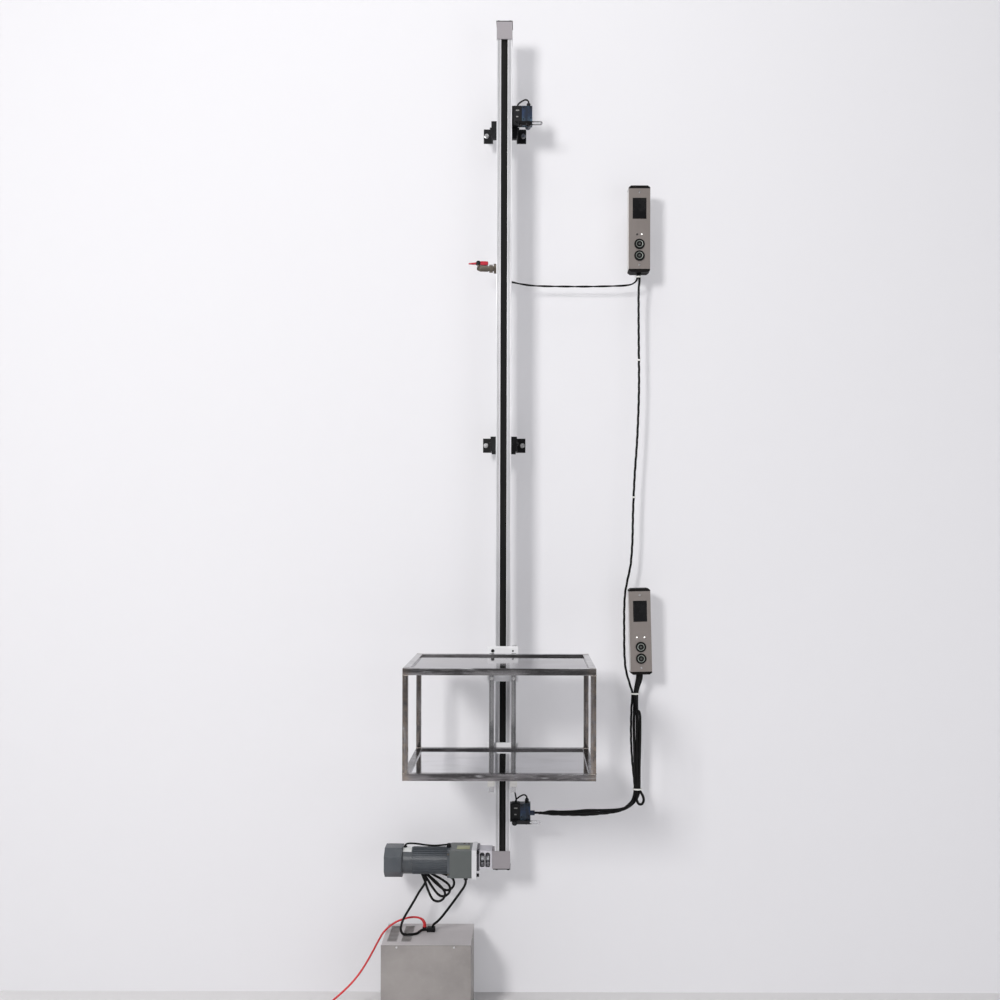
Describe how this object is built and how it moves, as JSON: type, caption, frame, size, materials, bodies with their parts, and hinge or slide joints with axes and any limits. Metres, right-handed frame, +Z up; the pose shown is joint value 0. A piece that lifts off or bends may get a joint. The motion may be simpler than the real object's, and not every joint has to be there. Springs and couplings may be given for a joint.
{
  "type": "dumbwaiter lift",
  "caption": "Wall-mounted open-cage dumbwaiter lift: belt-driven rail, carriage with a polished cage, gear motor, call panels, limit switches and a control cabinet.",
  "frame": {"origin": "on the wall face, midway between the middle pair of wall bolts, 1.884 m above the floor", "axes": "+Z up along the rail, +Y into the wall, -Y towards the user, +X to the right as seen from the front"},
  "size_m": [1.2387, 0.561, 3.274],
  "materials": {
    "rail_aluminium": "satin anodised",
    "block_aluminium": "satin",
    "black_steel": "semi-gloss black",
    "bright_steel": "bright zinc-plated",
    "belt_rubber": "matt",
    "cast_silver": "painted casting, satin",
    "drive_paint": "satin grey-green paint on aluminium casting",
    "shield_aluminium": "satin grey paint",
    "black_plastic": "matt black",
    "blue_plastic": "satin grey-blue",
    "panel_steel": "brushed",
    "panel_face_steel": "brushed",
    "display_glass": "dark gloss window",
    "board_plastic": "circuit board",
    "ring_steel": "black ring",
    "black_cable": "satin black sheath",
    "white_plastic": "natural nylon",
    "cabinet_paint": "satin light grey powder coat",
    "unit_plastic": "moulded housing",
    "valve_brass": "dull nickel-plated",
    "red_cable": "satin red sheath",
    "plate_aluminium": "bright milled",
    "post_steel": "polished",
    "cage_stainless": "mirror-polished stainless steel",
    "sheet_stainless": "mirror-polished stainless steel",
    "pulley_aluminium": "machined",
    "button_steel": "dark satin",
    "red_paint": "glossy red grip"
  },
  "bodies": {
    "frame": {"rail_profile": "rail_aluminium", "top_block": "block_aluminium", "bottom_block": "block_aluminium", "end_plates": "black_steel", "pulley_bearings": "bright_steel", "drive_belt": "belt_rubber", "rail_clamps": "black_steel", "wall_brackets": "black_steel", "wall_bolts": "bright_steel", "cap_screws": "bright_steel", "coupling_housing": "cast_silver", "gearbox_case": "drive_paint", "motor_body": "drive_paint", "motor_end_shield": "shield_aluminium", "brake_cover": "drive_paint", "switch_bodies": "black_plastic", "switch_heads": "blue_plastic", "panel_housings": "panel_steel", "panel_end_caps": "black_plastic", "panel_faces": "panel_face_steel", "panel_displays": "display_glass", "panel_boards": "board_plastic", "button_rings": "ring_steel", "cover_screws": "bright_steel", "held_leads": "black_cable", "cable_ties": "white_plastic", "cabinet_body": "cabinet_paint", "cabinet_cover": "cabinet_paint", "drive_unit": "unit_plastic", "cable_entries": "black_plastic", "valve_body": "valve_brass", "motor_cord": "black_cable", "motor_cord_hank": "black_cable", "gearbox_cord": "black_cable", "mains_cord": "red_cable", "mains_coil": "red_cable", "mains_plug": "black_plastic"},
    "carriage": {"carriage_plates": "plate_aluminium", "carriage_posts": "post_steel", "belt_clamp": "plate_aluminium", "guide_blocks": "white_plastic", "switch_strikers": "bright_steel", "cage_top_frame": "cage_stainless", "cage_bottom_frame": "cage_stainless", "cage_uprights": "cage_stainless", "cage_sheets": "sheet_stainless", "carriage_bolts": "bright_steel"},
    "drive": {"drive_pulley": "pulley_aluminium", "drive_shafts": "bright_steel", "coupling_hubs": "pulley_aluminium"},
    "idler": {"idler_pulley": "pulley_aluminium"},
    "upper_lever": {"upper_switch_lever": "bright_steel"},
    "lower_lever": {"lower_switch_lever": "bright_steel"},
    "upper_roller": {"upper_switch_roller": "white_plastic"},
    "lower_roller": {"lower_switch_roller": "black_plastic"},
    "upper_up": {"upper_up_button": "button_steel"},
    "upper_down": {"upper_down_button": "button_steel"},
    "lower_up": {"lower_up_button": "button_steel"},
    "lower_down": {"lower_down_button": "button_steel"},
    "valve_lever": {"red_lever": "red_paint"}
  },
  "joints": [
    {"name": "carriage_slide", "type": "slide", "parent": "frame", "child": "carriage", "axis": [0, 0, 1], "range_m": [-0.0965, 1.7095]},
    {"name": "drive_spin", "type": "hinge", "parent": "frame", "child": "drive", "pos_m": [0, -0.085, -1.371], "axis": [1, 0, 0], "continuous": true},
    {"name": "idler_spin", "type": "hinge", "parent": "frame", "child": "idler", "pos_m": [0, -0.085, 1.354], "axis": [1, 0, 0], "continuous": true},
    {"name": "upper_lever_hinge", "type": "hinge", "parent": "frame", "child": "upper_lever", "pos_m": [0.078, -0.1, 1.053], "axis": [0, 1, 0], "range_deg": [0, 45], "stiffness_Nm_per_rad": 0.08, "springref_deg": -20.05},
    {"name": "lower_lever_hinge", "type": "hinge", "parent": "frame", "child": "lower_lever", "pos_m": [0.078, -0.1, -1.25], "axis": [0, -1, 0], "range_deg": [0, 45], "stiffness_Nm_per_rad": 0.08, "springref_deg": -20.05},
    {"name": "upper_roller_spin", "type": "hinge", "parent": "upper_lever", "child": "upper_roller", "pos_m": [0.04, -0.112, 1.053], "axis": [0, 1, 0], "continuous": true},
    {"name": "lower_roller_spin", "type": "hinge", "parent": "lower_lever", "child": "lower_roller", "pos_m": [0.04, -0.112, -1.25], "axis": [0, 1, 0], "continuous": true},
    {"name": "upper_up_press", "type": "slide", "parent": "frame", "child": "upper_up", "axis": [0, 1, 0], "range_m": [0, 0.0025], "stiffness_N_per_m": 400, "springref_m": -0.002},
    {"name": "upper_down_press", "type": "slide", "parent": "frame", "child": "upper_down", "axis": [0, 1, 0], "range_m": [0, 0.0025], "stiffness_N_per_m": 400, "springref_m": -0.002},
    {"name": "lower_up_press", "type": "slide", "parent": "frame", "child": "lower_up", "axis": [0, 1, 0], "range_m": [0, 0.0025], "stiffness_N_per_m": 400, "springref_m": -0.002},
    {"name": "lower_down_press", "type": "slide", "parent": "frame", "child": "lower_down", "axis": [0, 1, 0], "range_m": [0, 0.0025], "stiffness_N_per_m": 400, "springref_m": -0.002},
    {"name": "valve_turn", "type": "hinge", "parent": "frame", "child": "valve_lever", "pos_m": [-0.085, -0.085, 0.592], "axis": [0, 0, 1], "range_deg": [0, 90]}
  ],
  "couplings": [
    {"joint": "drive_spin", "follows": "carriage_slide", "rad_per_m": -51.867},
    {"joint": "idler_spin", "follows": "carriage_slide", "rad_per_m": -51.867}
  ]
}
